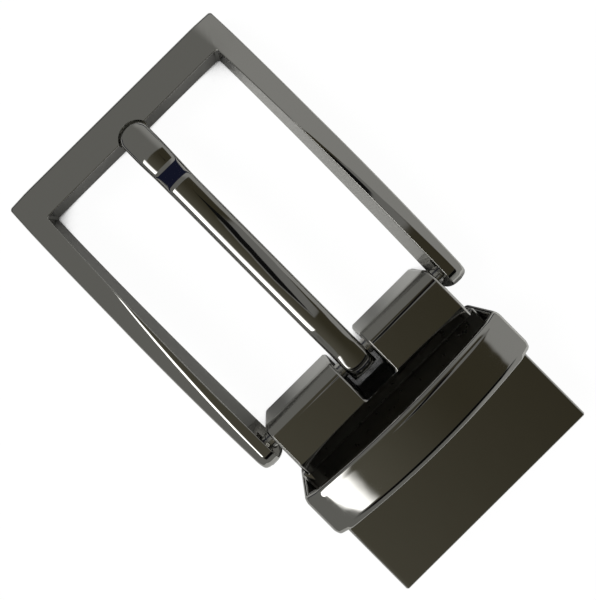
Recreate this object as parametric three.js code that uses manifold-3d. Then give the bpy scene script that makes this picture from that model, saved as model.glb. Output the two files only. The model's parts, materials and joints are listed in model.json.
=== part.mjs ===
// A dress-belt buckle of the clamp-on kind, for a 35 mm strap.
//
// A three-sided frame and its prong turn on one steel axle. The axle runs through the
// front block of a clamp case, which holds the strap's end: the strap slides in at the
// tail, and a toothed flap on the back bites it. A keeper loop, riveted under the case,
// holds the strap's free end down on the front plate.
//
// Frame of the model: millimetres, +X across the strap, +Y from the tail to the
// crossbar, +Z out of the front. Pieces are drawn with the axle at y = 0 and the
// surface that the buckle lies on at z = 0, and the whole is shifted along y at the end.

import * as THREE from 'three';
import { mergeVertices } from 'three/addons/utils/BufferGeometryUtils.js';
import Module from 'manifold-3d';

const wasm = await Module();
wasm.setup();

// ---- driving dimensions --------------------------------------------------------------

const STRAP_WIDTH = 35;
const RUNNING_GAP = 0.1;          // radial play of a pin in its bore
const PIECE_GAP = 0.3;            // clearance between pieces that lie against each other
const THROUGH = 60;               // longer than any piece, for cuts that go right through

// hinge axle
const AXLE = { z: 5.9, radius: 1.25 };

// buckle frame: two arms and a crossbar, arched along their length
const FRAME = {
  reach: 53.75,                   // from the axle to the crossbar's outer edge
  halfWidth: 22,                  // at the crossbar; the arms draw together to the hinge
  hingeHalfWidth: 21.15,
  windowHalfWidth: 18.2,
  windowHingeHalfWidth: 17.85,
  barWidth: 5.55,
  topPeak: 9.3,                   // height of the arms' top where the arch is highest
  bottomPeak: 3.6,
  archCentre: 14,                 // where along the arms the arch is highest
  topArch: 160,                   // radius of the arch at the top
  bottomArch: 221,
  edgeHeight: 8.3,                // height of the arms' outer edge under the crowned top
  crownWidth: 2.4,
  cornerRadius: 0.8,
};
const EYE_RADIUS = 2.77;          // rounded end of each arm about the axle

// notch in the crossbar and the prong's tip that rests in it
const NOTCH = { halfWidth: 2.95, end: 50.05, floor: 3.6 };
const PRONG = {
  tip: 48.95,
  tipHalfWidth: 2.5,
  tipRound: 1.9,                  // length of the round end
  halfWidth: 2.25,
  eyeRadius: 2.65,
  thickness: 2.3,
  peak: 9.95,                     // height of the top where the long level part is highest
  peakAt: 20,
  topArch: 350,
  riseStart: 1.5,                 // the top climbs from the eye to the level part
  riseEnd: 8,
  stepStart: 37.2,                // and steps down to the shelf before the tip
  stepEnd: 40.4,
  shelf: 7.5,
  tipBend: 43.8,                  // where the shelf tips down towards the notch
  tipSlope: 0.176,
};

// clamp case: hinge block at the front, open tail behind it
const BLOCK = {
  front: 2.75,
  halfWidth: 16.8,
  top: 9.6,                       // height of the level part of the top
  shoulderStart: 0.8,             // where the top begins to slope down towards the frame
  shoulderTop: 8.75,              // height of the top at the front face
  rearBend: -4.7,                 // where it begins to slope down towards the keeper
  rearTop: 9.15,
  blend: 0.5,                     // half length of the soft bend between level and slope
  rear: -7,
  cornerRadius: 1.4,
  footRadius: 0.6,
};
const SLOT = { halfWidth: 2.98, end: -5.06, cornerRadius: 0.6 };
const CASE = {
  tail: -29.75,
  halfWidth: 18.6,
  plateTop: 8,
  plateThickness: 1.2,
  wall: 0.8,
  waistHalfWidth: 17.8,           // between the keeper's legs
  floorTop: 2.2,
};
const THUMB_NOTCH = 3.5;          // radius of the notch at the flap's free end

// keeper loop: a crowned band round the case with its feet turned in below
const KEEPER = {
  front: -7.85,
  length: 7.25,
  halfWidth: 19.2,
  thickness: 1.1,
  crown: 15.4,
  crownHalfWidth: 16.5,           // the crown's arch ends here, in a sloped shoulder
  crownEdge: 13.45,
  shoulder: 12.1,
  shoulderRadius: 0.6,
  footThickness: 1,
  footReach: 6.4,                 // how far each foot turns in from the leg's outside
};
const RIVET = { radius: 1.1, headRadius: 1.8, headDepth: 0.6, inset: 4.2 };

// clamp flap with teeth, hinged across the tail
const FLAP = {
  hinge: -27.35,
  hingeHeight: 1.25,
  barrelRadius: 1.2,
  pinRadius: 0.7,
  bottom: 0.2,
  thickness: 1,
  toothTip: 2.4,
  toothPitch: 3.2,
  toothRow: 3,                    // distance of the teeth from the hinge
};

// ---- sizes that follow from them -------------------------------------------------------

const legInside = KEEPER.halfWidth - KEEPER.thickness;
const keeperRear = KEEPER.front - KEEPER.length;
const caseStep = keeperRear - PIECE_GAP;
const plateUnder = CASE.plateTop - CASE.plateThickness;
const channelHalfWidth = CASE.halfWidth - CASE.wall;
const flapHalfWidth = channelHalfWidth - PIECE_GAP;
const floorRear = caseStep - CASE.wall;
const flapFree = floorRear - PIECE_GAP;
const rivetX = KEEPER.halfWidth - RIVET.inset;
const rivetY = KEEPER.front - KEEPER.length / 2;
const axleHalfLength = FRAME.hingeHalfWidth - PIECE_GAP;
const axleY = (-CASE.tail - FRAME.reach) / 2;

if (2 * channelHalfWidth < STRAP_WIDTH) throw new Error('the strap is wider than the case');

// ---- solids ----------------------------------------------------------------------------

function solid(geometry) {
  const bare = geometry.clone();
  bare.deleteAttribute('normal');
  bare.deleteAttribute('uv');
  const merged = mergeVertices(bare, 1e-4);
  return new wasm.Manifold(new wasm.Mesh({
    numProp: 3,
    vertProperties: new Float32Array(merged.attributes.position.array),
    triVerts: new Uint32Array(merged.index.array),
  }));
}

function geometryOf(manifold) {
  const mesh = manifold.getMesh();
  const geometry = new THREE.BufferGeometry();
  geometry.setAttribute('position', new THREE.BufferAttribute(mesh.vertProperties, 3));
  geometry.setIndex(new THREE.BufferAttribute(mesh.triVerts, 1));
  geometry.computeVertexNormals();
  return geometry;
}

// A shape drawn in (x, y), from z = low to z = high.
function extrudeUp(shape, low, high, curveSegments = 8) {
  const geometry = new THREE.ExtrudeGeometry(shape, {
    depth: high - low, bevelEnabled: false, curveSegments,
  });
  return solid(geometry.translate(0, 0, low));
}

// A shape drawn in (y, z), from x = left to x = right.
function extrudeAcross(shape, left, right, curveSegments = 8) {
  const geometry = new THREE.ExtrudeGeometry(shape, {
    depth: right - left, bevelEnabled: false, curveSegments,
  });
  const turn = new THREE.Matrix4().makeBasis(
    new THREE.Vector3(0, 1, 0), new THREE.Vector3(0, 0, 1), new THREE.Vector3(1, 0, 0),
  );
  return solid(geometry.applyMatrix4(turn).translate(left, 0, 0));
}

// A shape drawn in (x, z), from y = front back to y = rear.
function extrudeAlong(shape, front, rear, curveSegments = 8) {
  const geometry = new THREE.ExtrudeGeometry(shape, {
    depth: front - rear, bevelEnabled: false, curveSegments,
  });
  return solid(geometry.rotateX(Math.PI / 2).translate(0, front, 0));
}

function box(left, right, rear, front, low, high) {
  const geometry = new THREE.BoxGeometry(right - left, front - rear, high - low);
  return solid(geometry.translate((left + right) / 2, (rear + front) / 2, (low + high) / 2));
}

// A round bar along x at (y, z).
function crossBar(radius, y, z, left, right, sides = 32) {
  const geometry = new THREE.CylinderGeometry(radius, radius, right - left, sides);
  return solid(geometry.rotateZ(Math.PI / 2).translate((left + right) / 2, y, z));
}

function joined(...solids) {
  return solids.reduce((whole, next) => whole.add(next));
}

// A plan that is square at the end y = square and has round corners at y = round.
function tongue(halfWidth, square, round, radius) {
  const turn = round > square ? 1 : -1;
  const centre = round - turn * radius;
  const shape = new THREE.Shape();
  shape.moveTo(-halfWidth, square);
  shape.lineTo(halfWidth, square);
  shape.absarc(halfWidth - radius, centre, radius, 0, turn * Math.PI / 2, turn < 0);
  shape.absarc(-halfWidth + radius, centre, radius, turn * Math.PI / 2, turn * Math.PI, turn < 0);
  return shape;
}

// ---- buckle frame ----------------------------------------------------------------------

// Height of an arch at y, for its highest point's height and its radius.
function archHeight(y, peak, radius) {
  return peak - (y - FRAME.archCentre) ** 2 / (2 * radius);
}

// Adds the arch from y = from to y = to to a side outline as one parabola.
function addArch(shape, from, to, peak, radius) {
  const middle = (from + to) / 2;
  const slope = (FRAME.archCentre - from) / radius;
  const start = archHeight(from, peak, radius);
  shape.quadraticCurveTo(middle, start + slope * (middle - from), to, archHeight(to, peak, radius));
}

function frameSide() {
  const { reach, topPeak, topArch, bottomPeak, bottomArch } = FRAME;
  const shape = new THREE.Shape();
  shape.moveTo(0, archHeight(0, bottomPeak, bottomArch));
  addArch(shape, 0, reach, bottomPeak, bottomArch);
  shape.lineTo(reach, archHeight(reach, topPeak, topArch));
  addArch(shape, reach, 0, topPeak, topArch);
  shape.absarc(0, AXLE.z, EYE_RADIUS, Math.PI / 2, Math.PI * 1.5);
  return shape;
}

// Seen along the arms: the outer edges are lower than the top and a curve joins them.
function frameCrown() {
  const { halfWidth, edgeHeight, topPeak, crownWidth } = FRAME;
  const shape = new THREE.Shape();
  shape.moveTo(-halfWidth, -1);
  shape.lineTo(halfWidth, -1);
  shape.lineTo(halfWidth, edgeHeight);
  shape.quadraticCurveTo(halfWidth - crownWidth / 2, topPeak, halfWidth - crownWidth, topPeak);
  shape.lineTo(-halfWidth + crownWidth, topPeak);
  shape.quadraticCurveTo(-halfWidth + crownWidth / 2, topPeak, -halfWidth, edgeHeight);
  return shape;
}

// A plan with round far corners whose sides draw together towards the hinge.
function framePlan(halfWidth, hingeHalfWidth, near, far) {
  const { cornerRadius } = FRAME;
  const shape = new THREE.Shape();
  const corner = far - cornerRadius;
  const nearHalf = hingeHalfWidth + (near / far) * (halfWidth - hingeHalfWidth);
  shape.moveTo(-nearHalf, near);
  shape.lineTo(nearHalf, near);
  shape.lineTo(halfWidth, corner);
  shape.absarc(halfWidth - cornerRadius, corner, cornerRadius, 0, Math.PI / 2);
  shape.absarc(-halfWidth + cornerRadius, corner, cornerRadius, Math.PI / 2, Math.PI);
  return shape;
}

function buckleFrame() {
  const { reach, halfWidth, hingeHalfWidth, barWidth, topPeak } = FRAME;
  const side = extrudeAcross(frameSide(), -halfWidth, halfWidth, 20);
  const crown = extrudeAlong(frameCrown(), reach, -EYE_RADIUS, 4);
  const plan = extrudeUp(
    framePlan(halfWidth, hingeHalfWidth, -EYE_RADIUS, reach), 0, topPeak, 4,
  );
  const window = extrudeUp(
    framePlan(FRAME.windowHalfWidth, FRAME.windowHingeHalfWidth, -4, reach - barWidth),
    -1, topPeak + 1, 4,
  );
  const notch = extrudeUp(
    tongue(NOTCH.halfWidth, 0, NOTCH.end, NOTCH.halfWidth), NOTCH.floor, topPeak + 1, 8,
  );
  const bore = crossBar(AXLE.radius + RUNNING_GAP, 0, AXLE.z, -THROUGH, THROUGH);
  return side.intersect(crown).intersect(plan).subtract(window).subtract(notch).subtract(bore);
}

// ---- prong and axle --------------------------------------------------------------------

// A straight climb from 0 to 1 between two places, with soft ends.
function ramp(y, start, end, soft) {
  const climb = (past) => {
    if (past <= -soft) return 0;
    return past >= soft ? past : (past + soft) ** 2 / (4 * soft);
  };
  return (climb(y - start) - climb(y - end)) / (end - start);
}

// Height of the prong's top: the eye, a rise, the long level part, a step, and the tip.
function prongTop(y) {
  const { peak, peakAt, topArch, riseStart, riseEnd, stepStart, stepEnd, shelf, tipBend, tipSlope } = PRONG;
  const eyeTop = AXLE.z + PRONG.eyeRadius;
  const level = peak - (y - peakAt) ** 2 / (2 * topArch);
  const body = eyeTop + (level - eyeTop) * ramp(y, riseStart, riseEnd, 1);
  const tip = shelf - tipSlope * Math.max(y - tipBend, 0);
  const share = ramp(y, stepStart, stepEnd, 0.35);
  return body * (1 - share) + tip * share;
}

function prongSide() {
  const { tip, thickness, eyeRadius } = PRONG;
  const stations = [0.5, 2, 3, 4.5, 6, 7, 9, 14, 20, 26, 32, 36.9, 37.5, 38.5, 39.5, 40.2, 40.8, 43.8, tip];
  const top = stations.map((y) => new THREE.Vector2(y, prongTop(y)));
  const under = top.slice(4).map((point) => new THREE.Vector2(point.x, point.y - thickness)).reverse();
  const shape = new THREE.Shape();
  shape.moveTo(0, AXLE.z + eyeRadius);
  for (const point of [...top, ...under]) shape.lineTo(point.x, point.y);
  shape.lineTo(eyeRadius, AXLE.z);
  shape.absarc(0, AXLE.z, eyeRadius, 0, Math.PI / 2, true);
  return shape;
}

function prongPlan() {
  const { tip, tipHalfWidth, tipRound, halfWidth, eyeRadius } = PRONG;
  const tipStart = tip - tipRound;
  const shape = new THREE.Shape();
  shape.moveTo(halfWidth, -eyeRadius - 1);
  shape.lineTo(halfWidth, tip * 0.72);
  shape.quadraticCurveTo(halfWidth, tip * 0.85, tipHalfWidth, tipStart);
  shape.absellipse(0, tipStart, tipHalfWidth, tipRound, 0, Math.PI);
  shape.quadraticCurveTo(-halfWidth, tip * 0.85, -halfWidth, tip * 0.72);
  shape.lineTo(-halfWidth, -eyeRadius - 1);
  return shape;
}

function prong() {
  const side = extrudeAcross(prongSide(), -PRONG.tipHalfWidth, PRONG.tipHalfWidth, 10);
  const bore = crossBar(AXLE.radius + RUNNING_GAP, 0, AXLE.z, -THROUGH, THROUGH);
  return side.intersect(extrudeUp(prongPlan(), 0, THROUGH, 8)).subtract(bore);
}

function hingeAxle() {
  return crossBar(AXLE.radius, 0, AXLE.z, -axleHalfLength, axleHalfLength);
}

// ---- clamp case ------------------------------------------------------------------------

// Height of the block's arched top at y.
function blockSide() {
  const { front, rear, top, shoulderStart, shoulderTop, rearBend, rearTop, blend } = BLOCK;
  const slope = (top - shoulderTop) / (front - shoulderStart);
  const shape = new THREE.Shape();
  shape.moveTo(front, BLOCK.footRadius);
  shape.lineTo(front, shoulderTop);
  shape.lineTo(shoulderStart + blend, top - slope * blend);
  shape.quadraticCurveTo(shoulderStart, top, shoulderStart - blend, top);
  shape.lineTo(rearBend, top);
  shape.lineTo(rear, rearTop);
  shape.lineTo(rear, 0);
  shape.lineTo(front - BLOCK.footRadius, 0);
  shape.absarc(front - BLOCK.footRadius, BLOCK.footRadius, BLOCK.footRadius, -Math.PI / 2, 0);
  return shape;
}

function hingeBlock() {
  const { front, rear, halfWidth, top, cornerRadius } = BLOCK;
  const side = extrudeAcross(blockSide(), -halfWidth, halfWidth, 12);
  const plan = extrudeUp(tongue(halfWidth, rear, front, cornerRadius), 0, top + 1);
  const slot = extrudeUp(
    tongue(SLOT.halfWidth, THROUGH, SLOT.end, SLOT.cornerRadius), -1, top + 1, 4,
  );
  const bore = crossBar(AXLE.radius + RUNNING_GAP, 0, AXLE.z, -THROUGH, THROUGH);
  return side.intersect(plan).subtract(slot).subtract(bore);
}

function clampCase() {
  const { tail, halfWidth, plateTop, waistHalfWidth, floorTop } = CASE;
  const overlap = 0.5;
  const front = BLOCK.rear + overlap;
  const waistPlate = box(-waistHalfWidth, waistHalfWidth, caseStep, front, plateUnder, plateTop);
  const tailPlate = box(-halfWidth, halfWidth, tail, caseStep, plateUnder, plateTop);
  const floor = box(-waistHalfWidth, waistHalfWidth, caseStep, front, 0, floorTop);
  const floorLink = box(-halfWidth, halfWidth, floorRear, caseStep, 0, floorTop);
  const parts = [hingeBlock(), waistPlate, tailPlate, floor, floorLink];
  for (const side of [-1, 1]) {
    const outer = side * halfWidth;
    const inner = side * channelHalfWidth;
    parts.push(box(Math.min(outer, inner), Math.max(outer, inner), tail, caseStep, 0, plateTop));
  }
  let whole = joined(...parts);
  for (const side of [-1, 1]) {
    whole = whole.subtract(footRecess(side)).subtract(rivetHole(side));
  }
  const thumbNotch = new THREE.CylinderGeometry(THUMB_NOTCH, THUMB_NOTCH, 2 * plateUnder - 2, 24);
  thumbNotch.rotateX(Math.PI / 2).translate(0, floorRear, 0);
  return whole.subtract(solid(thumbNotch)).subtract(flapBore());
}

function footRecess(side) {
  const inner = side * (KEEPER.halfWidth - KEEPER.footReach - PIECE_GAP);
  const outer = side * THROUGH;
  return box(
    Math.min(inner, outer), Math.max(inner, outer),
    caseStep, KEEPER.front + PIECE_GAP, -1, KEEPER.footThickness + PIECE_GAP,
  );
}

// ---- keeper loop and its rivets ---------------------------------------------------------

// Seen along the strap: legs, sloped shoulders and an arched crown, and feet turned in.
function keeperBand() {
  const { halfWidth, thickness, crown, crownHalfWidth, crownEdge, shoulder, shoulderRadius } = KEEPER;
  const { footThickness, footReach } = KEEPER;
  const footEnd = halfWidth - footReach;
  const innerEdge = crownEdge - thickness;
  const shape = new THREE.Shape();
  shape.moveTo(-footEnd, 0);
  shape.lineTo(-halfWidth, 0);
  shape.lineTo(-halfWidth, shoulder - shoulderRadius);
  shape.quadraticCurveTo(-halfWidth, shoulder, -halfWidth + shoulderRadius, shoulder + 0.3);
  shape.lineTo(-crownHalfWidth, crownEdge);
  shape.quadraticCurveTo(0, 2 * crown - crownEdge, crownHalfWidth, crownEdge);
  shape.lineTo(halfWidth - shoulderRadius, shoulder + 0.3);
  shape.quadraticCurveTo(halfWidth, shoulder, halfWidth, shoulder - shoulderRadius);
  shape.lineTo(halfWidth, 0);
  shape.lineTo(footEnd, 0);
  shape.lineTo(footEnd, footThickness);
  shape.lineTo(legInside, footThickness);
  shape.lineTo(legInside, shoulder - thickness + 0.3);
  shape.lineTo(crownHalfWidth - 0.2, innerEdge);
  shape.quadraticCurveTo(0, 2 * (crown - thickness) - innerEdge, -crownHalfWidth + 0.2, innerEdge);
  shape.lineTo(-legInside, shoulder - thickness + 0.3);
  shape.lineTo(-legInside, footThickness);
  shape.lineTo(-footEnd, footThickness);
  return shape;
}

function keeperLoop() {
  const band = extrudeAlong(keeperBand(), KEEPER.front, keeperRear, 16);
  return [-1, 1].reduce((loop, side) => loop.subtract(rivetHole(side)), band);
}

// Half outline of a countersunk rivet, grown by a clearance, turned about the z axis.
function rivetOutline(clearance, top) {
  const shank = RIVET.radius + clearance;
  const head = RIVET.headRadius + clearance;
  return [
    new THREE.Vector2(0, -clearance), new THREE.Vector2(head, -clearance),
    new THREE.Vector2(shank, RIVET.headDepth), new THREE.Vector2(shank, top + clearance),
    new THREE.Vector2(0, top + clearance),
  ];
}

function turnedRivet(side, clearance, top) {
  const lathe = new THREE.LatheGeometry(rivetOutline(clearance, top), 24);
  return solid(lathe.rotateX(Math.PI / 2).translate(side * rivetX, rivetY, 0));
}

function rivetHole(side) {
  return turnedRivet(side, RUNNING_GAP, CASE.floorTop);
}

function keeperRivet(side) {
  return turnedRivet(side, 0, CASE.floorTop);
}

// ---- clamp flap and its pin --------------------------------------------------------------

function flapBore() {
  return crossBar(
    FLAP.pinRadius + RUNNING_GAP, FLAP.hinge, FLAP.hingeHeight, -THROUGH, THROUGH, 24,
  );
}

function flapTooth(x) {
  const { hinge, toothRow, toothTip, toothPitch, bottom, thickness } = FLAP;
  const base = bottom + thickness - 0.2;
  const root = toothPitch * 0.45;
  const tooth = new THREE.ConeGeometry(root / 2, toothTip - base, 4);
  return solid(tooth.rotateX(Math.PI / 2).translate(x, hinge + toothRow, (toothTip + base) / 2));
}

function clampFlap() {
  const { hinge, hingeHeight, barrelRadius, bottom, thickness, toothPitch } = FLAP;
  const sheet = box(-flapHalfWidth, flapHalfWidth, hinge, flapFree, bottom, bottom + thickness);
  const barrel = crossBar(barrelRadius, hinge, hingeHeight, -flapHalfWidth, flapHalfWidth, 24);
  const teeth = [];
  const toothCount = Math.floor((2 * flapHalfWidth - toothPitch) / toothPitch);
  for (let i = 0; i < toothCount; i += 1) {
    teeth.push(flapTooth((i - (toothCount - 1) / 2) * toothPitch));
  }
  return joined(sheet, barrel, ...teeth).subtract(flapBore());
}

function flapPin() {
  const end = CASE.halfWidth - RUNNING_GAP;
  return crossBar(FLAP.pinRadius, FLAP.hinge, FLAP.hingeHeight, -end, end, 24);
}

// ---- materials and assembly ----------------------------------------------------------------

const gunmetal = { color: 0x4a4a46, roughness: 0.12, metalness: 1 };
const steel = { color: 0x9a9a98, roughness: 0.3, metalness: 1 };

function piece(name, manifold, finish) {
  const mesh = new THREE.Mesh(geometryOf(manifold), new THREE.MeshStandardMaterial(finish));
  mesh.name = name;
  return mesh;
}

const buckle = new THREE.Group();
buckle.position.y = axleY;
buckle.add(
  piece('buckle_frame', buckleFrame(), gunmetal),
  piece('hinge_axle', hingeAxle(), steel),
  piece('prong', prong(), gunmetal),
  piece('clamp_case', clampCase(), gunmetal),
  piece('keeper_loop', keeperLoop(), gunmetal),
  piece('keeper_rivet_left', keeperRivet(-1), steel),
  piece('keeper_rivet_right', keeperRivet(1), steel),
  piece('clamp_flap', clampFlap(), steel),
  piece('flap_pin', flapPin(), steel),
);

export default buckle;
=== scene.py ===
# %% [markdown]
# # A clamp-on belt buckle in black nickel
# A dress-belt buckle is die-cast in zinc, polished, and plated with a dark, glassy
# nickel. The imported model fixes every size, pivot and joint. This lesson builds the
# finished surfaces round it, and a studio that gives polished metal something to reflect.

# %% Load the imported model
import json
import math

import bmesh
import bpy
from mathutils import Matrix, Vector


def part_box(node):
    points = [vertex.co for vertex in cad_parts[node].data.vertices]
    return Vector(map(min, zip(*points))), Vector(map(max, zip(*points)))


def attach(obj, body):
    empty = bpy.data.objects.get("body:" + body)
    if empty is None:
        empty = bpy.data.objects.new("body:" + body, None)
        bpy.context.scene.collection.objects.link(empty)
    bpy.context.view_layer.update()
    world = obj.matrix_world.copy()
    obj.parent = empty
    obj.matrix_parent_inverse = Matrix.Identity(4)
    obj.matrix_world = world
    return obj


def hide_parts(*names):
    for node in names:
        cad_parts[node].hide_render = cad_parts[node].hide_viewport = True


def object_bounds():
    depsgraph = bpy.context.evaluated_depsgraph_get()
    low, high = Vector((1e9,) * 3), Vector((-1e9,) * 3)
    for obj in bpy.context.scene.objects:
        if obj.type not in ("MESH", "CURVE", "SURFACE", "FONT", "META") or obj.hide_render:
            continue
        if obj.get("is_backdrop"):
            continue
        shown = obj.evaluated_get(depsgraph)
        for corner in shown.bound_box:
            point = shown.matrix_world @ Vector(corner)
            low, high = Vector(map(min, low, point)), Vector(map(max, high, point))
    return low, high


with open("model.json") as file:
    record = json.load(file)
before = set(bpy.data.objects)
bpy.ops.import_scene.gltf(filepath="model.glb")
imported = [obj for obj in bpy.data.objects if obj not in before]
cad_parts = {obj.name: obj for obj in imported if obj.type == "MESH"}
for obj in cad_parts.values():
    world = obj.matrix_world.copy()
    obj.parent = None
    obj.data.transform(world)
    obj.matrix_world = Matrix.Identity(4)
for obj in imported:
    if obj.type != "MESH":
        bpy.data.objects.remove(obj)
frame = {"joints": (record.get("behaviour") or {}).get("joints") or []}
cad_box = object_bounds()

# %% [markdown]
# ## Working units
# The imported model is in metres, and a buckle is easier to think about in millimetres from
# its hinge axle. Every outline below is drawn that way: x across the strap, y from the
# axle towards the crossbar, z up from the surface that the buckle lies on. One function
# turns those millimetres into the model's frame, so no piece is moved afterwards.

# %% Millimetres from the axle
MM = 0.001
joints = {joint["name"]: joint for joint in frame["joints"]}
axle_y = joints["frame_hinge"]["pos_m"][1] / MM
axle_z = joints["frame_hinge"]["pos_m"][2] / MM
flap_hinge_y = joints["flap_hinge"]["pos_m"][1] / MM - axle_y
flap_hinge_z = joints["flap_hinge"]["pos_m"][2] / MM


def from_axle(point):
    return point / MM - Vector((0, axle_y, 0))


def to_frame(x, y, z):
    return Vector((x, y + axle_y, z)) * MM


def node_box(node):
    """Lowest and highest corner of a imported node, in millimetres from the axle."""
    return [from_axle(corner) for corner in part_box(node)]


print(f"the axle is {axle_z:.2f} mm up and the flap's pin is {-flap_hinge_y:.2f} mm behind it")

# %% [markdown]
# ## The camera
# The buckle lies on its back and is seen from straight above, turned about 45 degrees, by
# a lens close enough for its perspective to show: the raised keeper looks a little larger
# than the frame's far end. The optical axis passes near the prong's middle, so a small
# lens shift frames the whole buckle without tilting the camera.

# %% Camera
CAMERA_OVER = (1.7, 19.7)      # the point straight below the lens, from the axle
CAMERA_HEIGHT = 91.6
CAMERA_TURN = math.radians(-44.75)
LENS = 33.8
SHIFT = (0.045, -0.07)

camera = bpy.data.objects.new("camera", bpy.data.cameras.new("camera"))
camera.data.lens = LENS
camera.data.sensor_width = 36
camera.data.shift_x, camera.data.shift_y = SHIFT
camera.data.clip_start = 0.005
camera.location = to_frame(*CAMERA_OVER, CAMERA_HEIGHT)
camera.rotation_euler = (0, 0, CAMERA_TURN)
bpy.context.scene.collection.objects.link(camera)
bpy.context.scene.camera = camera
bpy.context.scene.view_settings.view_transform = "Standard"
print("camera", tuple(round(v, 4) for v in camera.location))

# %% [markdown]
# ## Nodes and colours
# Every material below is a handful of shader nodes. One small function adds a node, sets
# it and links its inputs, and one turns a hex colour into the linear values that a
# shader works with.


# %% Node and colour helpers
def linear(hex_colour):
    """An sRGB hex colour as linear red, green and blue, with full alpha."""
    parts = [int(hex_colour[i:i + 2], 16) / 255 for i in (1, 3, 5)]
    return (*[p / 12.92 if p <= 0.04045 else ((p + 0.055) / 1.055) ** 2.4 for p in parts], 1.0)


def add(tree, kind, settings=None, **inputs):
    """Adds a node. settings go on the node, inputs go in its sockets by name or number."""
    node = tree.nodes.new(kind)
    for name, value in (settings or {}).items():
        setattr(node, name, value)
    for name, value in inputs.items():
        socket = node.inputs[int(name[1:]) if name[0] == "_" else name.replace("_", " ")]
        if isinstance(value, bpy.types.NodeSocket):
            tree.links.new(value, socket)
        else:
            socket.default_value = value
    return node


def maths(tree, operation, first, second=0.0):
    return add(tree, "ShaderNodeMath", {"operation": operation}, _0=first, _1=second).outputs[0]


def times(tree, first, second):
    return maths(tree, "MULTIPLY", first, second)


print("white is", linear("#ffffff")[:3])

# %% [markdown]
# ## Plated metal
# The plating is black nickel: a metal, so all its colour is in its reflection, and dark
# because it gives back less than half of the light. Polishing leaves it almost a mirror.
# What keeps it from looking computed is small: the casting under the plating is very
# slightly wavy, the polishing mop leaves hair-fine lines, and the gloss varies a little.
# The waves are a bump of a few millimetres' pitch, and the lines are a stretched noise,
# drawn coarser than real ones so that they can be seen at all. Flap, pins and rivets are
# rougher, with stronger lines.

# %% Black nickel
NICKEL, POLISH = "#aeada9", 0.05       # colour and roughness of the mopped faces
WAVE_PITCH, WAVE_DEPTH = 3.0, 0.6
HAIRLINE_PITCH, HAIRLINE_DEPTH, HAIRLINE_STRETCH = 0.35, 0.02, 0.04
GLOSS_PITCH, GLOSS_SPREAD = 1.4, (0.8, 1.25)
FLECK_PITCH, FLECK_DIP = 0.16, 0.94    # a trace of uneven colour in the plating


def new_material(name):
    material = bpy.data.materials.new(name)
    material.use_nodes = True
    tree = material.node_tree
    tree.nodes.clear()
    return material, tree


def per_metre(pitch):
    """Noise scale for a pattern with this pitch in millimetres."""
    return 1 / (pitch * MM)


def stretched(tree, lines):
    """Object coordinates squeezed across the polishing lines, which run along x, y or z."""
    place = add(tree, "ShaderNodeTexCoord").outputs["Object"]
    scale = [1.0, 1.0, 1.0]
    scale["xyz".index(lines)] = HAIRLINE_STRETCH
    return add(tree, "ShaderNodeMapping", Vector=place, Scale=scale).outputs[0], place


def plated(name, colour, roughness, lines, wave=0.02, hairline=0.02):
    """A polished or brushed plated metal with its casting waves and polishing lines."""
    material, tree = new_material(name)
    along, place = stretched(tree, lines)
    waves = add(tree, "ShaderNodeTexNoise", Vector=place, Scale=per_metre(WAVE_PITCH), Detail=1.0)
    hairs = add(tree, "ShaderNodeTexNoise", Vector=along, Scale=per_metre(HAIRLINE_PITCH),
                Detail=3.0)
    cloud = add(tree, "ShaderNodeTexNoise", Vector=place, Scale=per_metre(GLOSS_PITCH),
                Detail=4.0)
    gloss = add(tree, "ShaderNodeMapRange", Value=cloud.outputs[0], From_Min=0.35, From_Max=0.7,
                To_Min=roughness * GLOSS_SPREAD[0], To_Max=roughness * GLOSS_SPREAD[1])
    fleck = add(tree, "ShaderNodeTexNoise", Vector=place, Scale=per_metre(FLECK_PITCH),
                Detail=2.0)
    tint = add(tree, "ShaderNodeMixRGB", {"blend_type": "MIX"}, Fac=fleck.outputs[0],
               Color1=linear(colour), Color2=[FLECK_DIP * v for v in linear(colour)[:3]] + [1])
    swell = add(tree, "ShaderNodeBump", Strength=wave, Distance=WAVE_DEPTH * MM,
                Height=waves.outputs[0])
    brush = add(tree, "ShaderNodeBump", Strength=hairline, Distance=HAIRLINE_DEPTH * MM,
                Height=hairs.outputs[0], Normal=swell.outputs[0])
    metal = add(tree, "ShaderNodeBsdfPrincipled", Base_Color=tint.outputs[0], Metallic=1.0,
                Roughness=gloss.outputs[0], Normal=brush.outputs[0])
    add(tree, "ShaderNodeOutputMaterial", Surface=metal.outputs[0])
    return material


frame_nickel = plated("black_nickel_frame_polish", NICKEL, POLISH, "y")
prong_nickel = plated("black_nickel_prong_polish", NICKEL, POLISH, "y")
case_nickel = plated("black_nickel_case_polish", NICKEL, POLISH, "x")
keeper_nickel = plated("black_nickel_keeper_polish", NICKEL, POLISH, "x")
# the satin is rougher and also painted darker than the polish, as shade for faces inside the
# channel, under the case and inside the keeper
satin_with_painted_shade = plated("satin_nickel_painted_shade_inside", "#8c8b87", 0.34, "y", hairline=0.25)
flap_steel = plated("brushed_nickel_flap", "#9a9994", 0.26, "x", hairline=0.35)
pin_steel = plated("ground_steel_pin", "#c2c1bd", 0.2, "x", hairline=0.3)
rivet_steel = plated("turned_steel_rivet", "#b4b3ae", 0.22, "z", hairline=0.2)
print("materials", sorted(material.name for material in bpy.data.materials))

# %% [markdown]
# ## Sections with soft corners
# Nothing on a polished casting has a knife edge: the mop rounds every corner, and that
# thin rounded band is what catches the light. Each bar of the buckle is drawn as a
# section whose corners are filleted, and the section is carried along the bar. A guard
# point close to each end of a fillet keeps the flats beside it flat, because smooth
# shading would otherwise spread the corner's bend right across them.


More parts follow.
